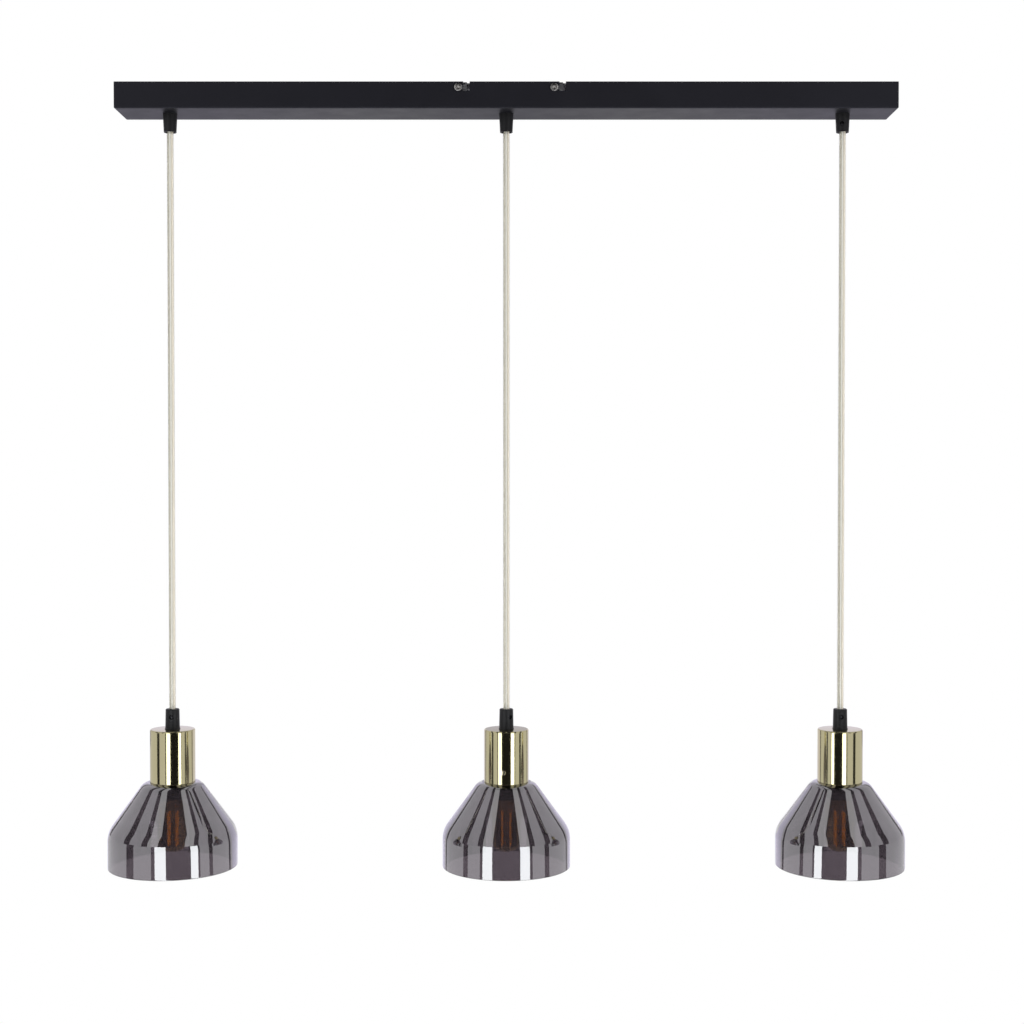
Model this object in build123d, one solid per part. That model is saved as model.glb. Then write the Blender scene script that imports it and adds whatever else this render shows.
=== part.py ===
from build123d import *

import math
import os

# A linear island pendant in millimetres. The origin is on the ceiling, at the middle of the
# ceiling box's open top. X runs along the box, -Y is the front and everything hangs towards -Z.

# ---------------------------------------------------------------- ceiling box and its bracket
CANOPY_LENGTH = 800.0
CANOPY_WIDTH = 55.0
CANOPY_HEIGHT = 27.0
CANOPY_SHEET = 1.0
CANOPY_BEND = 0.6  # inner radius of the folds

BRACKET_LENGTH = 134.0
BRACKET_WIDTH = 40.0
BRACKET_SHEET = 1.5
BRACKET_BEND = 1.0
EAR_WIDTH = 18.0
EAR_DEPTH = 12.0
CEILING_SLOT_SPACING = 84.0
CEILING_SLOT_LENGTH = 14.0
CEILING_SLOT_WIDTH = 5.0
CABLE_HOLE_RADIUS = 8.0
CABLE_HOLE_X = -20.0

SIDE_SCREW_SPACING = 98.0
SIDE_SCREW_DROP = 6.0  # below the box's rim
SIDE_SCREW_RADIUS = 2.0
SIDE_SCREW_HEAD_RADIUS = 4.0
SIDE_SCREW_HEAD_HEIGHT = 2.4
SIDE_SCREW_REACH = 4.5  # past the ear's inner face
HEAD_ROUNDING = 0.6  # of a pan head's height
RELEASE_TRAVEL = 8.5  # the box slides this far before it drops off the screws
ENTRY_WIDTH = 6.5
ENTRY_DEPTH = 9.5

# ---------------------------------------------------------------- cords and their grips
STATION_INSET = 52.0  # the outer cords, from the box's ends
CORD_RADIUS = 3.4
CORD_DROP = 598.0  # what shows of a cord, from grip to grip
CORE_BUNDLE_RADIUS = 2.25
JACKET_STUB = 2.0  # jacket left above the upper grip's stem
BEND_BALL_RADIUS = 2.6
SWING_TILT = 28.0  # degrees, both swings together

GRIP_THREAD_RADIUS = 4.9
GRIP_NUT_FLATS = 14.0
GRIP_NUT_HEIGHT = 3.0
UPPER_GRIP_HEIGHT = 19.0
UPPER_GRIP_FOOT_RADIUS = 7.4
UPPER_GRIP_TIP_RADIUS = 6.5
UPPER_GRIP_STEM = 8.0
PIVOT_DEPTH = 3.0  # inside the upper grip's mouth
UPPER_GRUB_HEIGHT = 11.0  # from the foot

LOWER_GRIP_HEIGHT = 21.0
LOWER_GRIP_FOOT_RADIUS = 7.9
LOWER_GRIP_TIP_RADIUS = 7.1
LOWER_GRIP_SHELF = 10.0  # the jacket's end rests above this height
LOWER_GRIP_LIP = 0.6
LOWER_GRIP_BAND = 0.8  # the straight band at its foot
LOWER_GRIP_STEP = 0.4
LOWER_GRUB_HEIGHT = 13.0
CORE_PASSAGE_RADIUS = 2.6
GRUB_RADIUS = 2.3
GRUB_LENGTH = 2.6

NIPPLE_BORE_RADIUS = 3.4
NIPPLE_ENGAGEMENT = 8.5  # thread held at each end

# ---------------------------------------------------------------- cup, lampholder and shade
CUP_RADIUS = 23.25
CUP_HEIGHT = 55.0
CUP_SHEET = 1.0
CUP_EDGE = 1.4
CUP_SCREW_DROP = 42.0
CUP_SCREW_RADIUS = 2.0
CUP_SCREW_HEAD_RADIUS = 2.6
CUP_SCREW_HEAD_HEIGHT = 0.9

HOLDER_RADIUS = 14.0
HOLDER_WALL = 1.8
HOLDER_NECK_RADIUS = 8.0
HOLDER_NECK_HEIGHT = 4.0
HOLDER_SHOULDER_HEIGHT = 6.0
HOLDER_CAP_HEIGHT = 30.0
HOLDER_PROUD = 18.0  # how far the lampholder shows below the cup's rim
SOCKET_DEPTH = 28.0
SOCKET_FLOOR = 3.0
SOCKET_MOUTH_RADIUS = 12.6
SOCKET_MOUTH_DEPTH = 7.0
SOCKET_MOUTH_CONE = 2.0
SOCKET_SHELL_RADIUS = 7.2  # inside the brass shell
SOCKET_SHELL_WALL = 0.5
SOCKET_SHELL_LENGTH = 17.0
SOCKET_TONGUE_RADIUS = 3.0
SOCKET_TONGUE_HEIGHT = 0.5
RIVET_RADIUS = 1.5
RIVET_HEAD = 1.0

SHADE_RADIUS = 66.5
SHADE_HEIGHT = 88.5
SHADE_WALL = 2.5
SHADE_TOP_RADIUS = 29.5  # where the cone's line meets the flat top
SHADE_CONE_ANGLE = 36.0  # degrees from the axis
SHADE_SHOULDER = 7.0
SHADE_KNEE = 27.0
SHADE_RIM_CHAMFER = 0.5
SHADE_HOLE_PLAY = 1.0

RING_RADIUS = 17.2
RING_HEIGHT = 9.0
RING_FLANGE = 1.2
RING_FLANGE_HEIGHT = 2.2
RING_FLANGE_CHAMFER = 0.6
RING_CHAMFER = 0.8
RING_NOTCHES = 12
RING_NOTCH_RADIUS = 1.1

# ---------------------------------------------------------------- bulb
BULB_RADIUS = 15.0
BULB_TIP_ROUND = 11.0
BULB_GLASS = 0.8
BULB_NECK_RADIUS = 6.4
BULB_FLARE_RADIUS = 10.4  # at the lampholder's end
BULB_FLARE_DROP = 8.0  # where the flare has reached the full width
BULB_CAP_RADIUS = 6.9
BULB_CAP_DEPTH = 9.0  # the cap's rim, inside the lampholder's end
BULB_CAP_LENGTH = 15.0
BULB_CAP_CHAMFER = 1.0
BULB_INSULATOR_LENGTH = 2.6
BULB_INSULATOR_RADIUS = 3.2
BULB_CONTACT_RADIUS = 2.2
STEM_RADIUS = 1.2
FILAMENT_RADIUS = 1.0
FILAMENT_LENGTH = 37.0
FILAMENT_CIRCLE = 6.0
FILAMENT_COUNT = 4
FILAMENT_DROP = 13.0  # their upper ends, below the lampholder's end
FILAMENT_TIP_ROOM = 5.0  # from their lower ends to the bulb's tip
SUPPORT_WIRE = 0.35

# ---------------------------------------------------------------- inside the ceiling box
BLOCK_LENGTH = 20.0
BLOCK_WIDTH = 26.0
BLOCK_HEIGHT = 15.0
BLOCK_CHAMFER = 1.0
BLOCK_X = 44.0
POLE_PITCH = 8.0
POLE_HEIGHT = 7.5
POLE_RADIUS = 2.4
POLE_DEPTH = 5.0
CLAMP_SCREW_RADIUS = 1.7
CLAMP_SCREW_INSET = 5.0
CLAMP_SCREW_SINK = 1.5
EARTH_X = 82.0
EARTH_SCREW_RADIUS = 2.0
EARTH_HEAD_RADIUS = 3.9
EARTH_HEAD_HEIGHT = 2.6
EARTH_WASHER_RADIUS = 5.0
EARTH_WASHER_HEIGHT = 1.0

# ---------------------------------------------------------------- fits
THREAD_PLAY = 0.05  # radial, between parts screwed together
RUNNING_PLAY = 0.1  # radial, where one turns in the other
SEAT_GAP = 0.3  # between a seated end and its seat
CLAMP_GAP = 0.15  # between a clamp screw's tip and its cores
HEAD_GAP = 0.05  # under the side screws' heads, so that the box can slide
WALL_GAP = 0.3  # between the bracket's ears and the box
LEG_PLAY = 0.25  # round the side screws, in the box's slots
MOUTH_PLAY = 0.25  # round the tilted cord, in the upper grip's mouth

# ---------------------------------------------------------------- levels and radii that follow
FLOOR = CANOPY_SHEET - CANOPY_HEIGHT  # the box's inner floor
UPPER_FOOT = -CANOPY_HEIGHT
UPPER_TIP = UPPER_FOOT - UPPER_GRIP_HEIGHT
PIVOT = UPPER_TIP + PIVOT_DEPTH
STEM_TOP = UPPER_FOOT + UPPER_GRIP_STEM
JACKET_TOP = STEM_TOP + JACKET_STUB
LOWER_TIP = UPPER_TIP - CORD_DROP
CUP_TOP = LOWER_TIP - LOWER_GRIP_HEIGHT
CUP_RIM = CUP_TOP - CUP_HEIGHT
CUP_CEILING = CUP_TOP - CUP_SHEET
HOLDER_END = CUP_RIM - HOLDER_PROUD
SHADE_RIM = CUP_RIM - SHADE_HEIGHT
CORD_BORE = CORD_RADIUS + RUNNING_PLAY
GRIP_HOLE = GRIP_THREAD_RADIUS + THREAD_PLAY
HOLDER_BORE = HOLDER_RADIUS - HOLDER_WALL
STATION_SPACING = CANOPY_LENGTH / 2 - STATION_INSET
STATIONS = {
    "left": -STATION_SPACING,
    "middle": 0.0,
    "right": STATION_SPACING,
}
# Where the grub screws of the upper grips and of the lamp heads, and the cups' screws, point:
# degrees about Z, with 0 at the front.
UPPER_GRUB_TURN = {"left": 165.0, "middle": 150.0, "right": -15.0}
LOWER_GRUB_TURN = {"left": 0.0, "middle": 36.0, "right": 0.0}
CUP_SCREW_TURN = {"left": 172.0, "middle": -8.0, "right": 188.0}


def turned(*outline):
    """A solid turned about Z from its outline of (radius, height) corners."""
    return revolve(Plane.XZ * make_face(Polyline(*outline, close=True)), Axis.Z)


def facing(turn):
    """A frame whose Z points out of the part's axis, towards the front turned by an angle."""
    return Rot(0, 0, turn) * Rot(90, 0, 0)


def pan_screw(radius, length, head_radius, head_height):
    """A pan-head screw: its head stands on z = 0 and its shank goes down."""
    head = Cylinder(head_radius, head_height, align=(Align.CENTER, Align.CENTER, Align.MIN))
    head = fillet(head.edges().sort_by(Axis.Z)[-1], head_height * HEAD_ROUNDING)
    shank = Cylinder(radius, length, align=(Align.CENTER, Align.CENTER, Align.MAX))
    return head + shank


# ---------------------------------------------------------------- ceiling box
def bayonet_cut(x):
    """The L-shaped slot for one side screw, through the front and the back wall."""
    leg = Pos(x + RELEASE_TRAVEL / 2, -SIDE_SCREW_DROP) * SlotCenterToCenter(
        RELEASE_TRAVEL, 2 * (SIDE_SCREW_RADIUS + LEG_PLAY)
    )
    entry = Pos(x + RELEASE_TRAVEL, 0) * Rectangle(ENTRY_WIDTH, 2 * ENTRY_DEPTH)
    return extrude(Plane.XZ * (leg + entry), CANOPY_WIDTH, both=True)


def canopy():
    """A long tray folded from sheet, with a hole for each cord grip and the bayonet slots."""
    top = (Align.CENTER, Align.CENTER, Align.MAX)
    outside = Box(CANOPY_LENGTH, CANOPY_WIDTH, CANOPY_HEIGHT, align=top)
    folds = outside.edges().filter_by(Axis.Z) + outside.faces().sort_by(Axis.Z)[0].edges()
    outside = fillet(folds, CANOPY_BEND + CANOPY_SHEET)
    inside = Box(
        CANOPY_LENGTH - 2 * CANOPY_SHEET,
        CANOPY_WIDTH - 2 * CANOPY_SHEET,
        CANOPY_HEIGHT - CANOPY_SHEET,
        align=top,
    )
    folds = inside.edges().filter_by(Axis.Z) + inside.faces().sort_by(Axis.Z)[0].edges()
    tray = outside - fillet(folds, CANOPY_BEND)
    for x in STATIONS.values():
        tray -= Pos(x, 0, FLOOR) * Cylinder(GRIP_HOLE, 4 * CANOPY_SHEET)
    tray -= Pos(EARTH_X, 0, FLOOR) * Cylinder(
        EARTH_SCREW_RADIUS + THREAD_PLAY, 4 * CANOPY_SHEET
    )
    for side in (-1, 1):
        tray -= bayonet_cut(side * SIDE_SCREW_SPACING / 2)
    return tray


def mounting_bracket():
    """A plate against the ceiling with ears bent down inside the box's long walls."""
    span = CANOPY_WIDTH - 2 * (CANOPY_SHEET + WALL_GAP)
    top = (Align.CENTER, Align.CENTER, Align.MAX)
    plate = Box(BRACKET_LENGTH, BRACKET_WIDTH, BRACKET_SHEET, align=top)
    plate = fillet(plate.edges().filter_by(Axis.Z), BRACKET_BEND + BRACKET_SHEET)
    for side in (-1, 1):
        saddle = Box(EAR_WIDTH, span, EAR_DEPTH, align=top)
        crown = saddle.faces().sort_by(Axis.Z)[-1].edges().filter_by(Axis.X)
        saddle = fillet(crown, BRACKET_BEND + BRACKET_SHEET)
        hollow = Pos(0, 0, -BRACKET_SHEET) * Box(
            EAR_WIDTH, span - 2 * BRACKET_SHEET, EAR_DEPTH, align=top
        )
        crown = hollow.faces().sort_by(Axis.Z)[-1].edges().filter_by(Axis.X)
        saddle -= fillet(crown, BRACKET_BEND)
        x = side * SIDE_SCREW_SPACING / 2
        hole = Rot(90, 0, 0) * Cylinder(SIDE_SCREW_RADIUS + THREAD_PLAY, CANOPY_WIDTH)
        plate += Pos(x, 0, 0) * (saddle - Pos(0, 0, -SIDE_SCREW_DROP) * hole)
        slot = SlotOverall(CEILING_SLOT_LENGTH, CEILING_SLOT_WIDTH)
        plate -= Pos(side * CEILING_SLOT_SPACING / 2, 0, 0) * extrude(
            slot, 2 * BRACKET_SHEET, both=True
        )
    plate -= Pos(CABLE_HOLE_X, 0, 0) * Cylinder(CABLE_HOLE_RADIUS, 4 * BRACKET_SHEET)
    return plate


def canopy_screws():
    """The four screws that hang the box on the bracket, two in each long wall."""
    reach = CANOPY_SHEET + WALL_GAP + BRACKET_SHEET + SIDE_SCREW_REACH + HEAD_GAP
    screw = pan_screw(
        SIDE_SCREW_RADIUS, reach, SIDE_SCREW_HEAD_RADIUS, SIDE_SCREW_HEAD_HEIGHT
    )
    placed = []
    for x in (-SIDE_SCREW_SPACING / 2, SIDE_SCREW_SPACING / 2):
        for turn in (0, 180):
            out = facing(turn) * Pos(0, 0, CANOPY_WIDTH / 2 + HEAD_GAP) * screw
            placed.append(Pos(x, 0, -SIDE_SCREW_DROP) * out)
    return placed


CLAMP_SCREW_LENGTH = (
    BLOCK_HEIGHT - CLAMP_SCREW_SINK - POLE_HEIGHT - CORE_BUNDLE_RADIUS - CLAMP_GAP
)


def terminal_block():
    """A three-pole block on the box's floor, open at both ends and at its clamp screws."""
    block = Box(
        BLOCK_LENGTH,
        BLOCK_WIDTH,
        BLOCK_HEIGHT,
        align=(Align.CENTER, Align.CENTER, Align.MIN),
    )
    block = chamfer(block.faces().sort_by(Axis.Z)[-1].edges(), BLOCK_CHAMFER)
    for pole in (-1, 0, 1):
        for end in (-1, 1):
            mouth = Rot(0, 90, 0) * Cylinder(POLE_RADIUS, 2 * POLE_DEPTH)
            block -= Pos(end * BLOCK_LENGTH / 2, pole * POLE_PITCH, POLE_HEIGHT) * mouth
            x = end * (BLOCK_LENGTH / 2 - CLAMP_SCREW_INSET)
            well = Cylinder(
                CLAMP_SCREW_RADIUS + THREAD_PLAY,
                2 * (CLAMP_SCREW_SINK + CLAMP_SCREW_LENGTH),
            )
            block -= Pos(x, pole * POLE_PITCH, BLOCK_HEIGHT) * well
    return Pos(BLOCK_X, 0, FLOOR) * block


def terminal_screws():
    """The six clamp screws, sunk in the block's top."""
    screw = Cylinder(
        CLAMP_SCREW_RADIUS,
        CLAMP_SCREW_LENGTH,
        align=(Align.CENTER, Align.CENTER, Align.MAX),
    )
    level = FLOOR + BLOCK_HEIGHT - CLAMP_SCREW_SINK
    inset = BLOCK_LENGTH / 2 - CLAMP_SCREW_INSET
    return [
        Pos(BLOCK_X + end * inset, pole * POLE_PITCH, level) * screw
        for pole in (-1, 0, 1)
        for end in (-1, 1)
    ]


def earth_screw():
    """The earth screw through the box's floor, with its washer above the sheet."""
    washer = turned(
        (0, 0),
        (EARTH_WASHER_RADIUS, 0),
        (EARTH_WASHER_RADIUS, EARTH_WASHER_HEIGHT),
        (0, EARTH_WASHER_HEIGHT),
    )
    screw = Pos(0, 0, EARTH_WASHER_HEIGHT) * pan_screw(
        EARTH_SCREW_RADIUS,
        EARTH_WASHER_HEIGHT + CANOPY_SHEET,
        EARTH_HEAD_RADIUS,
        EARTH_HEAD_HEIGHT,
    )
    return Pos(EARTH_X, 0, FLOOR) * (washer + screw)


# ---------------------------------------------------------------- cord grips
def grub_hole(radius, height):
    """The radial hole of a grub screw on the front, at a height."""
    reach = LOWER_GRIP_FOOT_RADIUS + SEAT_GAP
    return Pos(0, 0, height) * facing(0) * Cylinder(
        radius, reach, align=(Align.CENTER, Align.CENTER, Align.MIN)
    )


def grub_screw(seat, height):
    """A grub screw on the front, its tip at the seat's radius."""
    return Pos(0, 0, height) * facing(0) * Pos(0, 0, seat) * Cylinder(
        GRUB_RADIUS, GRUB_LENGTH, align=(Align.CENTER, Align.CENTER, Align.MIN)
    )


def upper_grip(side):
    """A cord grip screwed through the box's floor, with a mouth flared for the swinging cord."""
    tilt = math.radians(SWING_TILT)
    throat = CORD_RADIUS / math.cos(tilt) + MOUTH_PLAY
    mouth = throat + PIVOT_DEPTH * math.tan(tilt)
    flare = (mouth - CORD_BORE - RUNNING_PLAY) / math.tan(tilt)
    grip = turned(
        (CORD_BORE, STEM_TOP),
        (GRIP_THREAD_RADIUS, STEM_TOP),
        (GRIP_THREAD_RADIUS, UPPER_FOOT),
        (UPPER_GRIP_FOOT_RADIUS, UPPER_FOOT),
        (UPPER_GRIP_TIP_RADIUS, UPPER_TIP),
        (mouth, UPPER_TIP),
        (CORD_BORE + RUNNING_PLAY, UPPER_TIP + flare),
        (CORD_BORE, UPPER_TIP + flare),
    )
    grip -= grub_hole(GRUB_RADIUS + THREAD_PLAY, UPPER_FOOT - UPPER_GRUB_HEIGHT)
    return Rot(0, 0, UPPER_GRUB_TURN[side]) * grip


def lower_grip(side):
    """The cord grip on a lamp head, threaded from below for the nipple."""
    band = CUP_TOP + LOWER_GRIP_BAND
    grip = turned(
        (CORD_BORE, LOWER_TIP),
        (LOWER_GRIP_TIP_RADIUS - LOWER_GRIP_LIP, LOWER_TIP),
        (LOWER_GRIP_TIP_RADIUS, LOWER_TIP - LOWER_GRIP_LIP),
        (LOWER_GRIP_FOOT_RADIUS - LOWER_GRIP_STEP, band + LOWER_GRIP_STEP),
        (LOWER_GRIP_FOOT_RADIUS, band),
        (LOWER_GRIP_FOOT_RADIUS, CUP_TOP),
        (GRIP_HOLE, CUP_TOP),
        (GRIP_HOLE, CUP_TOP + NIPPLE_ENGAGEMENT),
        (CORE_PASSAGE_RADIUS, CUP_TOP + NIPPLE_ENGAGEMENT),
        (CORE_PASSAGE_RADIUS, CUP_TOP + LOWER_GRIP_SHELF),
        (CORD_BORE, CUP_TOP + LOWER_GRIP_SHELF),
    )
    grip -= grub_hole(GRUB_RADIUS + THREAD_PLAY, CUP_TOP + LOWER_GRUB_HEIGHT)
    return Rot(0, 0, LOWER_GRUB_TURN[side]) * grip


def upper_locknuts():
    """The hexagon nuts on the upper grips' stems, inside the box."""
    nut = extrude(RegularPolygon(GRIP_NUT_FLATS / 2, 6, major_radius=False), GRIP_NUT_HEIGHT)
    nut -= Cylinder(GRIP_HOLE, 3 * GRIP_NUT_HEIGHT)
    return [Pos(x, 0, FLOOR) * nut for x in STATIONS.values()]


def upper_grub_screws():
    """The grub screws that hold the cords in the upper grips."""
    screw = grub_screw(CORD_RADIUS + THREAD_PLAY, UPPER_FOOT - UPPER_GRUB_HEIGHT)
    return [Pos(x, 0, 0) * Rot(0, 0, UPPER_GRUB_TURN[s]) * screw for s, x in STATIONS.items()]


# ---------------------------------------------------------------- cords
def cord_bend():
    """The short stretch of a cord that bends in the grip's mouth, as a ball on the pivot."""
    return Pos(0, 0, PIVOT) * Sphere(BEND_BALL_RADIUS)


def cord():
    """The straight cord from the pivot to the shelf in the lower grip."""
    top = PIVOT - SEAT_GAP
    end = CUP_TOP + LOWER_GRIP_SHELF + SEAT_GAP
    line = Pos(0, 0, end) * Cylinder(
        CORD_RADIUS, top - end, align=(Align.CENTER, Align.CENTER, Align.MIN)
    )
    return line - Pos(0, 0, PIVOT) * Sphere(BEND_BALL_RADIUS + RUNNING_PLAY)


# The routes of the cores from each upper grip to the terminal block, chosen by hand.
FLOOR_RUN = FLOOR + CORE_BUNDLE_RADIUS + 0.25
POLE_LEVEL = FLOOR + POLE_HEIGHT
BLOCK_LEFT = BLOCK_X - BLOCK_LENGTH / 2
BLOCK_RIGHT = BLOCK_X + BLOCK_LENGTH / 2
LEAD_GRIP = POLE_DEPTH - SEAT_GAP  # how far the cores reach into a pole
LEAD_ROUTES = {
    "left": [
        (-STATION_SPACING, 0, JACKET_TOP),
        (-STATION_SPACING, 0, -7.0),
        (-STATION_SPACING + 13, 4, -7.8),
        (-STATION_SPACING + 38, 11, -19.5),
        (-STATION_SPACING * 0.77, 14.5, FLOOR_RUN),
        (-STATION_SPACING * 0.61, 13, FLOOR_RUN),
        (-STATION_SPACING * 0.445, 16, FLOOR_RUN),
        (-STATION_SPACING * 0.285, 13.5, FLOOR_RUN),
        (-STATION_SPACING * 0.137, 16.5, FLOOR_RUN),
        (-14, 13.5, FLOOR_RUN + 0.5),
        (8, 10, POLE_LEVEL - 2),
        (BLOCK_LEFT - 9, POLE_PITCH, POLE_LEVEL),
        (BLOCK_LEFT + LEAD_GRIP, POLE_PITCH, POLE_LEVEL),
    ],
    "middle": [
        (0, 0, JACKET_TOP),
        (0, 0, -7.0),
        (11, -2.5, -7.6),
        (18, -2, POLE_LEVEL + 2),
        (BLOCK_LEFT - 7, 0, POLE_LEVEL),
        (BLOCK_LEFT + LEAD_GRIP, 0, POLE_LEVEL),
    ],
    "right": [
        (STATION_SPACING, 0, JACKET_TOP),
        (STATION_SPACING, 0, -7.0),
        (STATION_SPACING - 14, 4.5, -8.0),
        (STATION_SPACING - 40, 12, -19.0),
        (STATION_SPACING * 0.76, 15, FLOOR_RUN),
        (STATION_SPACING * 0.605, 12.5, FLOOR_RUN),
        (STATION_SPACING * 0.455, 15.5, FLOOR_RUN),
        (STATION_SPACING * 0.335, 13, FLOOR_RUN),
        (86, 9.5, FLOOR_RUN + 0.8),
        (BLOCK_RIGHT + 9, POLE_PITCH, POLE_LEVEL),
        (BLOCK_RIGHT - LEAD_GRIP, POLE_PITCH, POLE_LEVEL),
    ],
}


def bend_radii(route):
    """For each corner of a route, the largest arc that its two runs allow."""
    radii = []
    for before, corner, after in zip(route, route[1:], route[2:]):
        come = Vector(*corner) - Vector(*before)
        go = Vector(*after) - Vector(*corner)
        half_turn = math.radians(come.get_angle(go)) / 2
        radii.append(0.45 * min(come.length, go.length) / math.tan(half_turn))
    return radii


def lead(side):
    """The end of a cord's jacket in its upper grip, and its cores on to the terminal block."""
    route = LEAD_ROUTES[side]
    radii = bend_radii(route)
    path = FilletPolyline(*route, radius=radii)
    section = Plane(origin=path @ 0, z_dir=path % 0) * Circle(CORE_BUNDLE_RADIUS)
    cores = sweep(section, path=path)
    straight = math.pi * CORE_BUNDLE_RADIUS**2 * path.length
    print(
        f"lead_{side}: radii " + ", ".join(f"{r:.1f}" for r in radii),
        f"length {path.length:.1f} volume {cores.volume:.1f} of {straight:.1f}",
    )
    low = PIVOT + CORD_RADIUS * math.sin(math.radians(SWING_TILT)) + SEAT_GAP
    jacket = Pos(0, 0, low) * Cylinder(
        CORD_RADIUS, JACKET_TOP - low, align=(Align.CENTER, Align.CENTER, Align.MIN)
    )
    jacket -= Pos(0, 0, PIVOT) * Sphere(BEND_BALL_RADIUS + RUNNING_PLAY)
    return Pos(STATIONS[side], 0, 0) * jacket + cores


# ---------------------------------------------------------------- lamp head
def head_screws(side):
    """The grub screw in the lower grip and the screw that steadies the cup on the lampholder."""
    grub = grub_screw(CORD_BORE, CUP_TOP + LOWER_GRUB_HEIGHT)
    length = CUP_RADIUS - HOLDER_RADIUS
    screw = Pos(0, 0, CUP_RADIUS) * pan_screw(
        CUP_SCREW_RADIUS, length, CUP_SCREW_HEAD_RADIUS, CUP_SCREW_HEAD_HEIGHT
    )
    across = facing(CUP_SCREW_TURN[side]) * screw
    return [
        Rot(0, 0, LOWER_GRUB_TURN[side]) * grub,
        Pos(0, 0, CUP_TOP - CUP_SCREW_DROP) * across,
    ]


def nipple():
    """The threaded tube that clamps the cup between the grip and the lampholder."""
    return turned(
        (NIPPLE_BORE_RADIUS, CUP_TOP + NIPPLE_ENGAGEMENT),
        (GRIP_THREAD_RADIUS, CUP_TOP + NIPPLE_ENGAGEMENT),
        (GRIP_THREAD_RADIUS, CUP_CEILING - NIPPLE_ENGAGEMENT),
        (NIPPLE_BORE_RADIUS, CUP_CEILING - NIPPLE_ENGAGEMENT),
    )


def cup(side):
    """The turned brass cup: closed at the top round the nipple, open below."""
    outer = FilletPolyline(
        (GRIP_HOLE, CUP_TOP), (CUP_RADIUS, CUP_TOP), (CUP_RADIUS, CUP_RIM), radius=CUP_EDGE
    )
    inner = FilletPolyline(
        (GRIP_HOLE, CUP_CEILING),
        (CUP_RADIUS - CUP_SHEET, CUP_CEILING),
        (CUP_RADIUS - CUP_SHEET, CUP_RIM),
        radius=max(CUP_EDGE - CUP_SHEET, CUP_SHEET / 4),
    )
    ends = Line(outer @ 0, inner @ 0) + Line(outer @ 1, inner @ 1)
    shell = revolve(Plane.XZ * make_face(outer + inner + ends), Axis.Z)
    hole = facing(CUP_SCREW_TURN[side]) * Cylinder(
        CUP_SCREW_RADIUS + THREAD_PLAY,
        CUP_RADIUS + CUP_SHEET,
        align=(Align.CENTER, Align.CENTER, Align.MIN),
    )
    return shell - Pos(0, 0, CUP_TOP - CUP_SCREW_DROP) * hole


def holder_cap():
    """The lampholder's upper half: a threaded neck on a shouldered cover."""
    neck = CUP_CEILING - HOLDER_NECK_HEIGHT
    shoulder = neck - HOLDER_SHOULDER_HEIGHT
    split = CUP_CEILING - HOLDER_CAP_HEIGHT
    return turned(
        (GRIP_HOLE, CUP_CEILING),
        (HOLDER_NECK_RADIUS, CUP_CEILING),
        (HOLDER_NECK_RADIUS, neck),
        (HOLDER_RADIUS, shoulder),
        (HOLDER_RADIUS, split),
        (HOLDER_BORE, split),
        (HOLDER_BORE, shoulder - HOLDER_WALL),
        (GRIP_HOLE, CUP_CEILING - NIPPLE_ENGAGEMENT - SEAT_GAP),
    )


def holder_body():
    """The lampholder's lower half: a skirt for the shade ring round the lamp socket."""
    split = CUP_CEILING - HOLDER_CAP_HEIGHT
    floor = HOLDER_END + SOCKET_DEPTH
    seat = SOCKET_SHELL_RADIUS + SOCKET_SHELL_WALL + THREAD_PLAY
    return turned(
        (HOLDER_RADIUS, split),
        (HOLDER_RADIUS, HOLDER_END),
        (SOCKET_MOUTH_RADIUS, HOLDER_END),
        (SOCKET_MOUTH_RADIUS, HOLDER_END + SOCKET_MOUTH_DEPTH),
        (seat, HOLDER_END + SOCKET_MOUTH_DEPTH + SOCKET_MOUTH_CONE),
        (seat, floor),
        (RIVET_RADIUS + THREAD_PLAY, floor),
        (RIVET_RADIUS + THREAD_PLAY, floor + SOCKET_FLOOR),
        (HOLDER_BORE, floor + SOCKET_FLOOR),
        (HOLDER_BORE, split),
    )


def lamp_contacts():
    """The socket's brass shell, and its centre contact on a rivet through the floor."""
    floor = HOLDER_END + SOCKET_DEPTH
    outer = SOCKET_SHELL_RADIUS + SOCKET_SHELL_WALL
    shell = turned(
        (SOCKET_SHELL_RADIUS, floor),
        (outer, floor),
        (outer, floor - SOCKET_SHELL_LENGTH),
        (SOCKET_SHELL_RADIUS, floor - SOCKET_SHELL_LENGTH),
    )
    tongue = turned(
        (0, floor - SOCKET_TONGUE_HEIGHT),
        (SOCKET_TONGUE_RADIUS, floor - SOCKET_TONGUE_HEIGHT),
        (SOCKET_TONGUE_RADIUS, floor),
        (RIVET_RADIUS, floor),
        (RIVET_RADIUS, floor + SOCKET_FLOOR + RIVET_HEAD),
        (0, floor + SOCKET_FLOOR + RIVET_HEAD),
    )
    return [shell, tongue]


def shade_line(inset):
    """One side of the shade's wall, from its hole to its rim, moved inwards by an inset."""
    slope = math.tan(math.radians(SHADE_CONE_ANGLE))
    shift = inset / math.cos(math.radians(SHADE_CONE_ANGLE))
    top = CUP_RIM - inset
    radius = SHADE_RADIUS - inset
    shoulder = SHADE_TOP_RADIUS - shift + slope * inset
    knee = CUP_RIM - (radius - SHADE_TOP_RADIUS + shift) / slope
    return FilletPolyline(
        (HOLDER_RADIUS + SHADE_HOLE_PLAY, top),
        (shoulder, top),
        (radius, knee),
        (radius, SHADE_RIM),
        radius=[SHADE_SHOULDER - inset, SHADE_KNEE - inset],
    )


def shade():
    """The blown glass shade: flat top, rounded shoulder, cone, rounded knee and upright skirt."""
    outer = shade_line(0)
    inner = shade_line(SHADE_WALL)
    ends = Line(outer @ 0, inner @ 0) + Line(outer @ 1, inner @ 1)
    glass = revolve(Plane.XZ * make_face(outer + inner + ends), Axis.Z)
    rim = glass.edges().group_by(Axis.Z)[0]
    return chamfer(rim, SHADE_RIM_CHAMFER)


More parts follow.
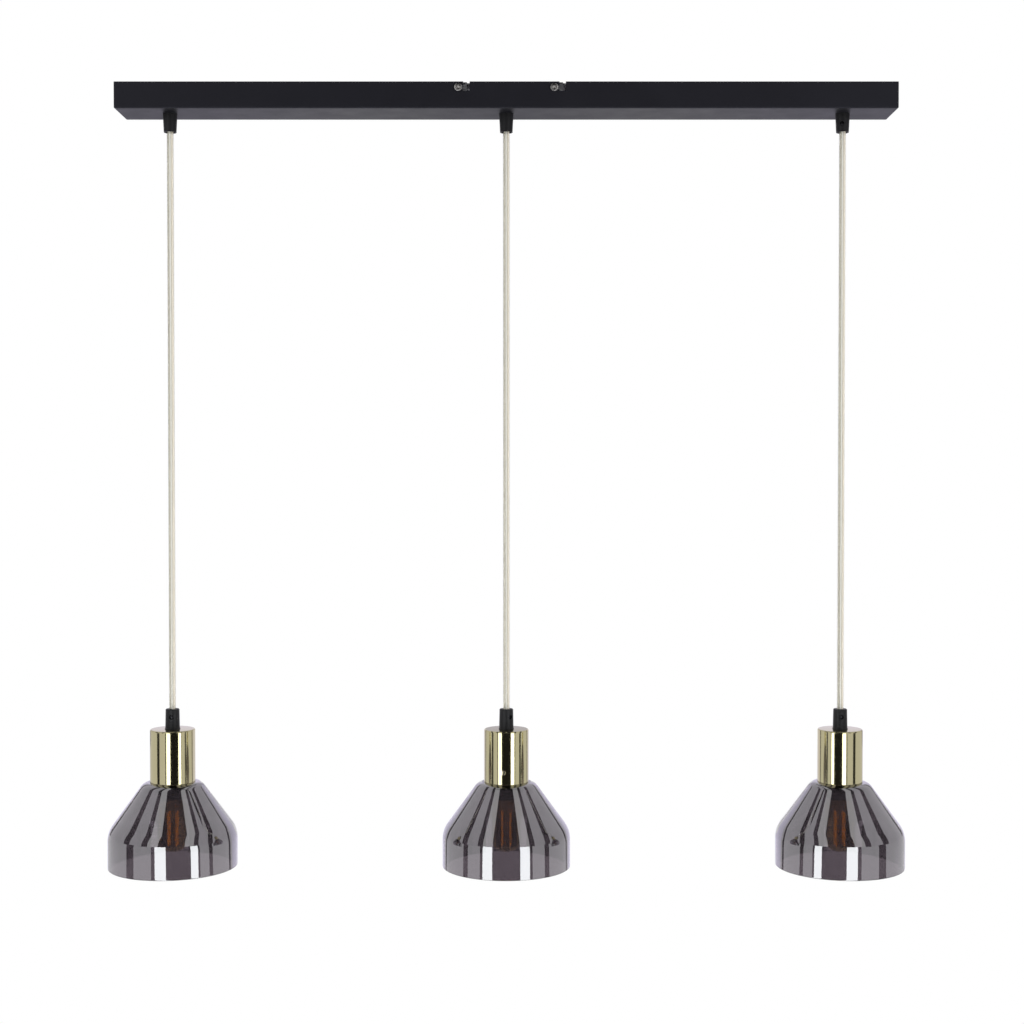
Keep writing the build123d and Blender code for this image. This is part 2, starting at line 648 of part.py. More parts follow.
def shade_ring():
    """The ring screwed up the lampholder's skirt, which clamps the glass against the cup."""
    top = CUP_RIM - SHADE_WALL
    bore = HOLDER_RADIUS + THREAD_PLAY
    flange = RING_RADIUS + RING_FLANGE
    end = top - RING_HEIGHT
    low = top - RING_FLANGE_HEIGHT - RING_FLANGE_CHAMFER
    ring = turned(
        (bore, top),
        (flange, top),
        (flange, top - RING_FLANGE_HEIGHT),
        (RING_RADIUS, low),
        (RING_RADIUS, end + RING_CHAMFER),
        (RING_RADIUS - RING_CHAMFER, end),
        (bore, end),
    )
    notch = Pos(RING_RADIUS + RING_NOTCH_RADIUS / 2, 0, low) * Cylinder(
        RING_NOTCH_RADIUS, RING_HEIGHT, align=(Align.CENTER, Align.CENTER, Align.MAX)
    )
    for step in range(RING_NOTCHES):
        ring -= Rot(0, 0, step * 360 / RING_NOTCHES) * notch
    return ring


# ---------------------------------------------------------------- bulb
BULB_CAP_RIM = HOLDER_END + BULB_CAP_DEPTH
BULB_CAP_TOP = BULB_CAP_RIM + BULB_CAP_LENGTH
BULB_CONTACT_SEAT = BULB_CAP_TOP + BULB_INSULATOR_LENGTH
BULB_CONTACT_TOP = HOLDER_END + SOCKET_DEPTH - SOCKET_TONGUE_HEIGHT - SEAT_GAP
BULB_TIP = HOLDER_END - FILAMENT_DROP - FILAMENT_LENGTH - FILAMENT_TIP_ROOM


def bulb_cap():
    """The bulb's screw cap with its insulating cone."""
    return turned(
        (0, BULB_CAP_RIM),
        (BULB_CAP_RADIUS, BULB_CAP_RIM),
        (BULB_CAP_RADIUS, BULB_CAP_TOP - BULB_CAP_CHAMFER),
        (BULB_CAP_RADIUS - BULB_CAP_CHAMFER, BULB_CAP_TOP),
        (BULB_INSULATOR_RADIUS, BULB_CONTACT_SEAT),
        (0, BULB_CONTACT_SEAT),
    )


def bulb_contact():
    """The round contact button on the end of the bulb's cap."""
    crown = BULB_CONTACT_TOP - BULB_CONTACT_SEAT
    return turned(
        (0, BULB_CONTACT_SEAT),
        (BULB_CONTACT_RADIUS, BULB_CONTACT_SEAT),
        (BULB_CONTACT_RADIUS, BULB_CONTACT_SEAT + crown / 2),
        (BULB_CONTACT_RADIUS / 2, BULB_CONTACT_TOP),
        (0, BULB_CONTACT_TOP),
    )


def bulb_line(inset):
    """The bulb's glass in section, from its neck in the cap to its tip, moved inwards."""
    radius = BULB_RADIUS - inset
    return FilletPolyline(
        (BULB_NECK_RADIUS - inset, BULB_CAP_RIM),
        (BULB_FLARE_RADIUS - inset, HOLDER_END),
        (radius, HOLDER_END - BULB_FLARE_DROP),
        (radius, BULB_TIP + inset),
        (0, BULB_TIP + inset),
        radius=[
            BULB_TIP_ROUND,
            BULB_TIP_ROUND,
            BULB_TIP_ROUND - inset,
        ],
    )


def bulb_glass():
    """The tubular glass of the bulb, open at the neck where the cap closes it."""
    outer = bulb_line(0)
    inner = bulb_line(BULB_GLASS)
    ends = Line(outer @ 0, inner @ 0) + Line(outer @ 1, inner @ 1)
    return revolve(Plane.XZ * make_face(outer + inner + ends), Axis.Z)


def bulb_filaments():
    """The stem with a wire cross at each end of the upright filaments."""
    top = HOLDER_END - FILAMENT_DROP
    end = top - FILAMENT_LENGTH
    stem = Pos(0, 0, end - SUPPORT_WIRE) * Cylinder(
        STEM_RADIUS, BULB_CAP_RIM - end + SUPPORT_WIRE, align=(Align.CENTER, Align.CENTER, Align.MIN)
    )
    rod = Pos(FILAMENT_CIRCLE, 0, end) * Cylinder(
        FILAMENT_RADIUS, FILAMENT_LENGTH, align=(Align.CENTER, Align.CENTER, Align.MIN)
    )
    wire = Rot(0, 90, 0) * Cylinder(
        SUPPORT_WIRE, FILAMENT_CIRCLE, align=(Align.CENTER, Align.CENTER, Align.MIN)
    )
    for step in range(FILAMENT_COUNT):
        turn = Rot(0, 0, 45 + step * 360 / FILAMENT_COUNT)
        stem += turn * rod
        stem += turn * Pos(0, 0, top) * wire
        stem += turn * Pos(0, 0, end) * wire
    return stem


# ---------------------------------------------------------------- all the pieces
def write(name, shape):
    """Export one node; a list of solids becomes one group."""
    solids = shape if isinstance(shape, list) else [shape]
    piece = Compound(children=[s for item in solids for s in item.solids()])
    export_step(piece, f"parts/{name}.step")


os.makedirs("parts", exist_ok=True)
write("canopy", canopy())
write("mounting_bracket", mounting_bracket())
write("canopy_screws", canopy_screws())
write("terminal_block", terminal_block())
write("terminal_screws", terminal_screws())
write("earth_screw", earth_screw())
write("upper_locknuts", upper_locknuts())
write("upper_grub_screws", upper_grub_screws())
for side, x in STATIONS.items():
    place = Pos(x, 0, 0)
    write(f"upper_grip_{side}", place * upper_grip(side))
    write(f"lead_{side}", lead(side))
    write(f"cord_bend_{side}", place * cord_bend())
    write(f"cord_{side}", place * cord())
    write(f"lower_grip_{side}", place * lower_grip(side))
    write(f"head_screws_{side}", [place * screw for screw in head_screws(side)])
    write(f"nipple_{side}", place * nipple())
    write(f"cup_{side}", place * cup(side))
    write(f"holder_cap_{side}", place * holder_cap())
    write(f"holder_body_{side}", place * holder_body())
    write(f"lamp_contacts_{side}", [place * piece for piece in lamp_contacts()])
    write(f"shade_ring_{side}", place * shade_ring())
    write(f"shade_{side}", place * shade())
    write(f"bulb_cap_{side}", place * bulb_cap())
    write(f"bulb_contact_{side}", place * bulb_contact())
    write(f"bulb_glass_{side}", place * bulb_glass())
    write(f"bulb_filaments_{side}", place * bulb_filaments())
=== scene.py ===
import math

import bmesh
import bpy
import numpy as np
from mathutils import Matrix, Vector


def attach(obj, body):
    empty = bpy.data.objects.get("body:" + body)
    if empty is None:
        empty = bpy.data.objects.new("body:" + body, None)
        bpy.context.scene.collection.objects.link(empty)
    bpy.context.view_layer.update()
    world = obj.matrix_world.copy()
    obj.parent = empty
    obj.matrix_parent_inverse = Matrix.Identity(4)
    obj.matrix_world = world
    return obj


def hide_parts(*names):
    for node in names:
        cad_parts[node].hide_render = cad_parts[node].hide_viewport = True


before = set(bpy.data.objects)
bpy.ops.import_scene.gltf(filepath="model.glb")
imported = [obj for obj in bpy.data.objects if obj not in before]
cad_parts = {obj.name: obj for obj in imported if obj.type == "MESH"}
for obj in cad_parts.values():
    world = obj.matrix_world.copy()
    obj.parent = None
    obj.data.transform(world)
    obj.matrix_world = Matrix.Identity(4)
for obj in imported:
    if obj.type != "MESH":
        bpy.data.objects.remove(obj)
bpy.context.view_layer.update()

# ---------------------------------------------------------------- mounting bracket
# The strip of galvanised steel that is screwed to the ceiling, with slotted holes, a cable hole
# and four ears bent down. The zinc shows as dull crystals a few millimetres wide.


class Wire:
    """One output of a material's nodes; arithmetic on wires and numbers adds the Math nodes."""

    def __init__(self, tree, socket):
        self.tree = tree
        self.socket = socket

    def node(self, kind, settings, inputs, output=0):
        """A new node: its settings are set first, and then the values or wires of its sockets."""
        made = self.tree.nodes.new(kind)
        for key, value in settings.items():
            setattr(made, key, value)
        for key, value in inputs.items():
            if isinstance(value, Wire):
                self.tree.links.new(value.socket, made.inputs[key])
            else:
                made.inputs[key].default_value = value
        return Wire(self.tree, made.outputs[output])

    def maths(self, operation, *values):
        return self.node("ShaderNodeMath", {"operation": operation}, dict(enumerate(values)))

    def __add__(self, other):
        return self.maths("ADD", self, other)

    def __rsub__(self, other):
        return self.maths("SUBTRACT", other, self)

    def __mul__(self, other):
        return self.maths("MULTIPLY", self, other)

    __radd__ = __add__
    __rmul__ = __mul__

    def between(self, low, high):
        """A colour that runs from low, where this wire is 0, to high, where it is 1."""
        return self.node(
            "ShaderNodeMix", {"data_type": "RGBA"}, {0: self, 6: (*low, 1), 7: (*high, 1)}, 2
        )

    def noise(self, scale, detail=2.0):
        """Noise from 0 to 1 at this place, with so many lumps in a metre."""
        inputs = {"Vector": self, "Scale": scale, "Detail": detail}
        return self.node("ShaderNodeTexNoise", {}, inputs)

    def stretched(self, x, y, z):
        """This place, with a pattern on it drawn finer along each axis by these factors."""
        return self.node("ShaderNodeMapping", {}, {"Vector": self, "Scale": (x, y, z)})

    def relief(self, height_mm):
        """The normal of a surface that this wire raises by up to a height in millimetres."""
        return self.node("ShaderNodeBump", {}, {"Height": self, "Distance": height_mm / 1000})


def finish(name, same, changing=None):
    """A material. The shader's values in same are alike all over a piece; changing takes the
    place on the piece and gives the wires of the values that vary."""
    made = bpy.data.materials.new(name)
    made.use_nodes = True
    tree = made.node_tree
    shader = tree.nodes["Principled BSDF"]
    for key, value in same.items():
        shader.inputs[key].default_value = (*value, 1) if key == "Base Color" else value
    if changing:
        place = Wire(tree, tree.nodes.new("ShaderNodeTexCoord").outputs["Object"])
        for key, wire in changing(place).items():
            tree.links.new(wire.socket, shader.inputs[key])
    return made


def dress(material, *names):
    """Gives CAD nodes a material."""
    for name in names:
        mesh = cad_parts[name].data
        mesh.materials.clear()
        mesh.materials.append(material)


def zinc_crystals(place):
    """Each crystal is a cell with its own grey and gloss, and the dip leaves a soft ripple."""
    crystals_in_a_metre = 160.0
    cell = place.node(
        "ShaderNodeTexVoronoi", {}, {"Vector": place, "Scale": crystals_in_a_metre}, 1
    )
    shade = place.node("ShaderNodeSeparateColor", {}, {0: cell})
    return {
        "Base Color": shade.between((0.44, 0.45, 0.47), (0.66, 0.67, 0.69)),
        "Roughness": 0.32 + 0.2 * shade,
        "Normal": place.noise(420).relief(0.03),
    }


LAMPS = {"left": -348.0, "middle": 0.0, "right": 348.0}  # where each hangs, in mm to the right
galvanised = finish("galvanised", {"Metallic": 1.0}, zinc_crystals)
dress(galvanised, "mounting_bracket", *(f"nipple_{side}" for side in LAMPS))

# ---------------------------------------------------------------- ceiling box
# A tray of 1 mm sheet steel, folded and powder coated satin black. The coat has a fine
# orange-peel skin.


def powder_coat(place):
    """The skin's lumps are under a millimetre wide; the gloss changes slowly over the box."""
    return {
        "Base Color": place.noise(18).between((0.007, 0.007, 0.009), (0.010, 0.010, 0.013)),
        "Roughness": 0.40 + 0.14 * place.noise(40),
        "Normal": place.noise(1100).relief(0.02),
    }


coat_gloss = {"Specular IOR Level": 0.27, "Specular Tint": (0.83, 0.83, 1.0, 1.0)}
dress(finish("powder_coat", coat_gloss, powder_coat), "canopy")

# ---------------------------------------------------------------- side screws
# Four zinc-plated pan-head screws with a cross recess hold the box on the bracket's ears, and a
# brass one of the same kind is the earth point on the box's floor.


MERGE_WITHIN = 2e-6  # metres
SHARP_FROM = math.radians(32)


def skin(name, grids, loop=False):
    """One mesh through grids of points in millimetres. Each row of a grid goes round and
    closes. Rows are joined one to the next, and the last to the first where they make a loop.
    Doubles are merged and the faces turned outwards."""
    places, quads, start = [], [], 0
    for grid in grids:
        rows, columns = grid.shape[:2]
        row = np.arange(rows if loop else rows - 1)[:, None] * columns
        column = np.arange(columns)[None, :]
        below = (row + columns) % (rows * columns)
        right = (column + 1) % columns
        corners = [row + column, row + right, below + right, below + column]
        quads.append(np.stack(corners, -1).reshape(-1, 4) + start)
        places.append(grid.reshape(-1, 3) / 1000)
        start += rows * columns
    mesh = bpy.data.meshes.new(name)
    mesh.from_pydata(np.concatenate(places).tolist(), [], np.concatenate(quads).tolist())
    work = bmesh.new()
    work.from_mesh(mesh)
    bmesh.ops.remove_doubles(work, verts=work.verts, dist=MERGE_WITHIN)
    bmesh.ops.recalc_face_normals(work, faces=work.faces)
    work.to_mesh(mesh)
    work.free()
    mesh.polygons.foreach_set("use_smooth", np.ones(len(mesh.polygons), bool))
    mesh.set_sharp_from_angle(angle=SHARP_FROM)
    made = bpy.data.objects.new(name, mesh)
    bpy.context.scene.collection.objects.link(made)
    return made


def within(distance, half_width, wall=0.12):
    """1 within half a pocket's width of its middle line and 0 beyond it, with a steep wall
    between: half_width less distance, over the wall's own width in millimetres."""
    return np.clip((half_width - abs(distance)) / wall + 0.5, 0, 1)


def cross_recess(x, y, head):
    """The depth of a cross-shaped pocket at (x, y) of a head of this radius: two bars across
    each other, 0.44 of the radius wide and 1.2 long, deepest in the middle."""
    bars = [within(a, 0.22 * head) * within(b, 0.6 * head) for a, b in ((x, y), (y, x))]
    return 0.75 * head * np.maximum(*bars) * (1 - 0.5 * np.hypot(x, y) / head)


def screw(seat, out, head, height, shank, length, pocket=cross_recess):
    """The grid of a screw whose head stands on a seat and points out; head and shank are radii.
    Radius and level run from the middle of the head over its dome, which falls by a quarter of
    the height at the rim, down its rounded edge and along the shank to the tip. The pocket
    lowers the dome."""
    flat, round_off = 0.93, 0.07  # of the head's radius
    dome = np.linspace(0, flat * head, 30)
    edge = np.linspace(0, np.pi / 2, 7)
    rim = head * (flat + round_off * np.sin(edge))
    radius = np.concatenate([dome, rim, [head * 0.98, shank, shank, 0.6 * shank, 0]])
    rise = height * (1 - 0.25 * (dome / head) ** 2)
    side = height * (0.36 + 0.42 * np.cos(edge))
    level = np.concatenate([rise, side, [0, 0, -length + 0.5, -length, -length]])
    driven_to = 0.35  # how far round the pocket is left, in radians
    turn = np.linspace(0, 2 * np.pi, 72, endpoint=False) + driven_to
    x, y = radius[:, None] * np.cos(turn), radius[:, None] * np.sin(turn)
    z = np.broadcast_to(level[:, None], x.shape).copy()
    z[: len(dome)] -= pocket(x, y, head)[: len(dome)]
    out = np.array(out, float) / np.linalg.norm(out)
    across = np.cross(out, (0, 0, 1) if abs(out[2]) < 0.9 else (0, 1, 0))
    across /= np.linalg.norm(across)
    up = np.cross(across, out)
    return np.array(seat) + x[..., None] * across + y[..., None] * up + z[..., None] * out


def fit(piece, body, slot, material, *nodes):
    """Gives a new piece its material and body, and hides the CAD nodes it stands for. The slot is
    not used.
    """
    piece.data.materials.append(material)
    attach(piece, body)
    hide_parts(*nodes)
    return piece


zinc = finish(
    "zinc_plate",
    {"Metallic": 1.0, "Base Color": (0.56, 0.55, 0.53)},
    lambda place: {
        "Roughness": 0.20 + 0.16 * place.noise(600),
        "Normal": place.noise(2500).relief(0.01),
    },
)
HEAD_SEAT = 27.55  # from the box's middle, just clear of its wall
SIDE_SCREW = {"head": 4.0, "height": 2.4, "shank": 2.0, "length": 7.35}
side_screws = [
    screw((x, way * HEAD_SEAT, -6), (0, way, 0), **SIDE_SCREW)
    for x in (-49.0, 49.0)
    for way in (-1, 1)
]
fit(skin("side_screws", side_screws), "bracket", "zinc_screw", zinc, "canopy_screws")

brass_parts = finish(
    "plain_brass",
    {"Metallic": 1.0, "Base Color": (0.72, 0.55, 0.26)},
    lambda place: {"Roughness": 0.25 + 0.2 * place.noise(500)},
)
dress(brass_parts, "terminal_screws", *(f"lamp_contacts_{side}" for side in LAMPS))


def coated_over(place):
    """Brass above the box's floor, and the box's black coat on the end that shows below it."""
    inside_the_floor = -0.0265  # metres
    level = place.node("ShaderNodeSeparateXYZ", {}, {0: place}, 2)
    brass = level.maths("GREATER_THAN", level, inside_the_floor)
    return {
        "Base Color": brass.between((0.012, 0.012, 0.014), (0.72, 0.55, 0.26)),
        "Metallic": brass,
        "Roughness": 0.45 - 0.15 * brass + 0.05 * place.noise(500),
    }


dress(finish("earth_screw", {"Specular IOR Level": 0.3}, coated_over), "earth_screw")

# ---------------------------------------------------------------- terminal block
# A three-pole block of off-white plastic on the box's floor, with brass clamp screws.

block_plastic = finish(
    "block_plastic",
    {"Base Color": (0.80, 0.79, 0.74)},
    lambda place: {
        "Roughness": 0.38 + 0.15 * place.noise(300),
        "Normal": place.noise(900).relief(0.015),
    },
)
dress(block_plastic, "terminal_block")

# ---------------------------------------------------------------- cord grips
# Black moulded grips: the upper ones are screwed through the box's floor and held by nuts, the
# lower ones sit on the cups. A slotted grub screw in each holds the cord.


def moulded(place):
    """Spark-eroded mould texture, and a little dust in the gloss."""
    return {
        "Base Color": place.noise(60).between((0.006, 0.006, 0.007), (0.011, 0.011, 0.012)),
        "Roughness": 0.34 + 0.16 * place.noise(260),
        "Normal": place.noise(1500, 3.0).relief(0.012),
    }


grip_black = finish("grip_black", {"Specular IOR Level": 0.32}, moulded)
grips = [f"{end}_grip_{side}" for side in LAMPS for end in ("upper", "lower")]
dress(grip_black, "upper_locknuts", *grips)


def slot_recess(x, y, head):
    """The depth of a straight slot across a screw's end, 0.7 mm in its middle."""
    return 0.7 * within(y, 0.22 * head, 0.1)


def pointing(degrees):
    """The level direction that is so many degrees round from the front."""
    turn = math.radians(degrees)
    return (math.sin(turn), -math.cos(turn), 0.0)


blackened = finish(
    "blackened_steel",
    {"Metallic": 1.0, "Base Color": (0.05, 0.05, 0.055)},
    lambda place: {"Roughness": 0.3 + 0.2 * place.noise(900)},
)
GRUB = {"head": 2.25, "height": 2.0, "shank": 1.9, "length": 0.55, "pocket": slot_recess}
UPPER_TURN = {"left": 165, "middle": 150, "right": -15}  # degrees from the front
upper = []
for side, x in LAMPS.items():
    out = pointing(UPPER_TURN[side])
    seat = np.array((x, 0, -38)) + 4.05 * np.array(out)
    upper.append(screw(seat, out, **GRUB))
fit(skin("upper_grubs", upper), "canopy", "grub_screw", blackened, "upper_grub_screws")

# ---------------------------------------------------------------- leads in the ceiling box
# Above each upper grip the cord's jacket ends and its three cores, two insulated in ivory and one
# bare tinned wire, run twisted along the box's floor to the terminal block.


def spline(name, route):
    """A smooth open curve on the points of a route, in millimetres."""
    curve = bpy.data.curves.new(name, "CURVE")
    curve.dimensions = "3D"
    curve.resolution_u = 16
    line = curve.splines.new("NURBS")
    line.points.add(len(route) - 1)
    metres = np.array(route, float) / 1000
    line.points.foreach_set("co", np.column_stack([metres, np.ones(len(route))]).ravel())
    line.order_u = 3
    line.use_endpoint_u = True
    made = bpy.data.objects.new(name, curve)
    bpy.context.scene.collection.objects.link(made)
    return made


def line_of(curve):
    """The points of a curve that has no bevel, in millimetres."""
    mesh = bpy.data.meshes.new_from_object(curve)
    place = np.empty(len(mesh.vertices) * 3)
    mesh.vertices.foreach_get("co", place)
    bpy.data.meshes.remove(mesh)
    return place.reshape(-1, 3) * 1000


def core(line, offset, radius, phase, pitch=26.0, step=1.6, round_steps=10):
    """The grid of one core: a tube whose centre winds round a line at an offset, one turn in
    each pitch. Its ends run together to a point in their middle."""
    run = np.concatenate([[0], np.cumsum(np.linalg.norm(np.diff(line, axis=0), axis=1))])
    along = np.linspace(0, run[-1], max(int(run[-1] / step), 8))
    centre = np.stack([np.interp(along, run, line[:, k]) for k in range(3)], -1)
    ahead = np.gradient(centre, axis=0)
    ahead /= np.linalg.norm(ahead, axis=1, keepdims=True)
    across = np.cross(ahead, (0, 1, 0))
    across /= np.linalg.norm(across, axis=1, keepdims=True)
    up = np.cross(across, ahead)
    wind = (2 * np.pi * along / pitch + phase)[:, None]
    centre = centre + offset * (np.cos(wind) * across + np.sin(wind) * up)
    turn = np.linspace(0, 2 * np.pi, round_steps, endpoint=False)[None, :, None]
    ring = radius * (np.cos(turn) * across[:, None] + np.sin(turn) * up[:, None])
    tube = centre[:, None] + ring
    ends = np.broadcast_to(centre[[0, -1], None], (2, round_steps, 3))
    return np.concatenate([ends[:1], tube, ends[1:]])


def turned(outline, x=0.0, y=0.0, steps=144):
    """The grid of a turned piece: each (radius, level) of its outline, at equal angles round
    the upright axis through (x, y)."""
    outline = np.array(outline, float)
    turn = np.linspace(0, 2 * np.pi, steps, endpoint=False)
    radius, level = outline[:, :1], outline[:, 1:]
    around = [x + radius * np.cos(turn), y + radius * np.sin(turn), level + 0 * turn]
    return np.stack(around, -1)


def drawn_wire(place):
    """The tin is duller in patches a few millimetres long, with fine marks along the wire."""
    dulled = place.stretched(1, 1, 0.5).noise(500, 4.0)
    return {
        "Base Color": dulled.between((0.68, 0.66, 0.55), (0.98, 0.97, 0.90)),
        "Roughness": 0.28 + 0.2 * place.noise(1200),
        "Normal": place.stretched(1, 1, 0.2).noise(2600).relief(0.06),
    }


ivory = finish(
    "ivory_insulation",
    {"Base Color": (0.84, 0.79, 0.69)},
    lambda place: {"Roughness": 0.32 + 0.12 * place.noise(700)},
)
tinned = finish("tinned_wire", {"Metallic": 1.0}, drawn_wire)
clear_jacket = finish(
    "clear_jacket",
    {"Base Color": (0.96, 0.94, 0.87), "Transmission Weight": 0.93, "IOR": 1.40, "Alpha": 0.5},
    lambda place: {"Roughness": 0.03 + 0.04 * place.noise(400)},
)
FLOOR_RUN = -23.5
POLE_LEVEL = -18.5
LEAD_ROUTES = {
    "left": [
        (-348, 0, -17),
        (-348, 0, -7),
        (-335, 4, -7.8),
        (-310, 11, -19.5),
        (-268, 14.5, FLOOR_RUN),
        (-212.3, 13, FLOOR_RUN),
        (-154.9, 16, FLOOR_RUN),
        (-99.2, 13.5, FLOOR_RUN),
        (-47.7, 16.5, FLOOR_RUN),
        (-14, 13.5, FLOOR_RUN + 0.5),
        (8, 10, POLE_LEVEL - 2),
        (25, 8, POLE_LEVEL),
        (38.7, 8, POLE_LEVEL),
    ],
    "middle": [
        (0, 0, -17),
        (0, 0, -7),
        (11, -2.5, -7.6),
        (18, -2, POLE_LEVEL + 2),
        (27, 0, POLE_LEVEL),
        (38.7, 0, POLE_LEVEL),
    ],
    "right": [
        (348, 0, -17),
        (348, 0, -7),
        (334, 4.5, -8),
        (308, 12, -19),
        (264.5, 15, FLOOR_RUN),
        (210.5, 12.5, FLOOR_RUN),
        (158.3, 15.5, FLOOR_RUN),
        (116.6, 13, FLOOR_RUN),
        (86, 9.5, FLOOR_RUN + 0.8),
        (63, 8, POLE_LEVEL),
        (49.3, 8, POLE_LEVEL),
    ],
}
CORE_OFFSET = 1.18
CORE_RADIUS = 1.05
THIRDS = [k * 2 * math.pi / 3 for k in range(3)]  # three strands round one line, in radians
JACKET_END = [(3.4, -41.1), (3.4, -17.2), (3.2, -17), (2.35, -17), (2.35, -41.1)]
for side, route in LEAD_ROUTES.items():
    guide = spline(f"lead_guide_{side}", route)
    line = line_of(guide)
    bpy.data.objects.remove(guide)
    cores = [core(line, CORE_OFFSET, CORE_RADIUS, phase) for phase in THIRDS]
    insulated = skin(f"lead_cores_{side}", cores[:2])
    fit(insulated, "canopy", "cord_clear", ivory, f"lead_{side}")
    bare = skin(f"lead_earth_{side}", cores[2:])
    fit(bare, "canopy", "cord_clear", tinned)
    stub = skin(f"jacket_end_{side}", [turned(JACKET_END, LAMPS[side], steps=48)], True)
    fit(stub, "canopy", "cord_clear", clear_jacket)

# ---------------------------------------------------------------- cords
# The cords hang straight from the upper grips. Through the clear jacket show an ivory core, a
# white one behind it, a white cotton filler and a bare core of three silvery strands. The filler
# lies at the jacket's front, and its thin white line down the cord is also a painted highlight.
# The cores lie side by side, untwisted.

cotton = finish(
    "white_cotton",
    {},
    lambda place: {
        "Base Color": place.noise(700).between((0.93, 0.93, 0.89), (0.99, 0.99, 0.96)),
        "Roughness": 0.6 + 0.2 * place.noise(1500),
    },
)
CORD_LEVELS = (-43.3, -150, -350, -550, -654.7)
CORD_INSIDE = {  # where each lies in the jacket, in mm to the right and to the rear
    "ivory": (1.9, -0.4, 0),
    "white": (-0.05, 1.3, 0),
    # at the front: a cotton filler whose white line down the cord is also a painted highlight
    "highlight_filler": (-0.15, -2.0, 0),
    "bare": (-1.75, -0.6, 0),
}
CORD_RADII = {"ivory": 1.25, "white": 1.35, "highlight_filler": 0.5}
STRAND = {"offset": 0.62, "radius": 0.6, "pitch": 12.0, "step": 0.9, "round_steps": 8}
for side, x in LAMPS.items():
    body = f"cord_{side}"
    jacket = spline(f"pendant_cord_{side}", [(x, 0, z) for z in CORD_LEVELS])
    line = line_of(jacket)
    jacket.data.bevel_depth = 0.0035
    jacket.data.bevel_resolution = 8
    jacket.data.use_fill_caps = True
    fit(jacket, body, "cord_clear", clear_jacket, f"cord_{side}", f"cord_bend_{side}")
    inside = {name: line + place for name, place in CORD_INSIDE.items()}
    tubes = {name: core(inside[name], 0, radius, 0) for name, radius in CORD_RADII.items()}
    insulated = fit(skin(f"cord_core_{side}", [tubes["ivory"]]), body, "cord_clear", ivory)
    white = skin(f"cord_filler_{side}", [tubes["white"], tubes["highlight_filler"]])
    fit(white, body, "cord_clear", cotton)
    strands = [core(inside["bare"], phase=phase, **STRAND) for phase in THIRDS]
    bare = fit(skin(f"cord_earth_{side}", strands), body, "cord_clear", tinned)

# ---------------------------------------------------------------- brass cups
# Each cup is deep drawn from thin brass, polished and plated a pale gold. A small pan-head screw
# through its wall steadies it on the lampholder, and a grub screw above holds the cord.


def rounded(corners, steps=10):
    """An outline through (radius, level, fillet) corners. Each fillet is an arc that touches
    both lines of its corner, its centre on their bisector at fillet / sin of half the angle
    between them; where the fillet is 0 the corner stays sharp."""
    corner = np.array(corners, float)
    place, fillet = corner[:, None, :2], corner[:, None, 2:]
    back, ahead = np.roll(place, 1, 0) - place, np.roll(place, -1, 0) - place
    back /= np.linalg.norm(back, axis=2, keepdims=True)
    ahead /= np.linalg.norm(ahead, axis=2, keepdims=True)
    half = np.arccos(np.clip((back * ahead).sum(2, keepdims=True), -1, 1)) / 2
    inwards = (back + ahead) / np.linalg.norm(back + ahead, axis=2, keepdims=True)
    sideways = (ahead - back) / np.linalg.norm(ahead - back, axis=2, keepdims=True)
    swing = (np.pi / 2 - half) * np.linspace(-1, 1, steps)[None, :, None]
    middle = place + inwards * fillet / np.sin(half)
    arcs = middle + fillet * (np.sin(swing) * sideways - np.cos(swing) * inwards)
    return arcs.reshape(-1, 2)


def polished(place):
    """Fine marks from the polishing wheel run round the cup; faint wiping dulls it in places."""
    marks = place.stretched(40, 40, 1600).noise(1.0)
    wiping = place.noise(45, 4.0)
    return {
        "Base Color": wiping.between((0.63, 0.575, 0.335), (0.68, 0.63, 0.39)),
        "Roughness": 0.05 + 0.07 * wiping + 0.03 * marks,
        "Normal": marks.relief(0.0012),
    }


pale_brass = finish("pale_brass", {"Metallic": 1.0}, polished)
bright_screw = finish(
    "bright_screw",
    {"Metallic": 1.0, "Base Color": (0.84, 0.78, 0.58)},
    lambda place: {"Roughness": 0.14 + 0.14 * place.noise(800)},
)
cup_outline = rounded(
    [
        (4.95, -665, 0),
        (23.25, -665, 1.4),
        (23.25, -720, 0.35),
        (22.25, -720, 0.35),
        (22.25, -666, 0.4),
        (4.95, -666, 0),
    ]
)
STEADY = {"head": 2.6, "height": 0.95, "shank": 1.8, "length": 9.1, "pocket": slot_recess}
LOWER_TURN = {"left": 0, "middle": 36, "right": 0}  # degrees from the front, as CUP_TURN
CUP_TURN = {"left": 172, "middle": -8, "right": 188}
for side, x in LAMPS.items():
    body = f"head_{side}"
    cup = skin(f"brass_cup_{side}", [turned(cup_outline, x, steps=192)], True)
    fit(cup, body, "polished_brass", pale_brass, f"cup_{side}")
    out = pointing(LOWER_TURN[side])
    seat = np.array((x, 0, -652)) + 4.1 * np.array(out)
    grub = skin(f"lower_grub_{side}", [screw(seat, out, **GRUB)])
    fit(grub, body, "grub_screw", blackened, f"head_screws_{side}")
    out = pointing(CUP_TURN[side])
    seat = np.array((x, 0, -707)) + 23.2 * np.array(out)
    steady = skin(f"cup_screw_{side}", [screw(seat, out, **STEADY)])
    fit(steady, body, "polished_brass", bright_screw)

# ---------------------------------------------------------------- lampholders
# A black phenolic lampholder is screwed on the nipple inside each cup. Its skirt has a coarse
# moulded thread, and a knurled ring on it clamps the glass against the cup.

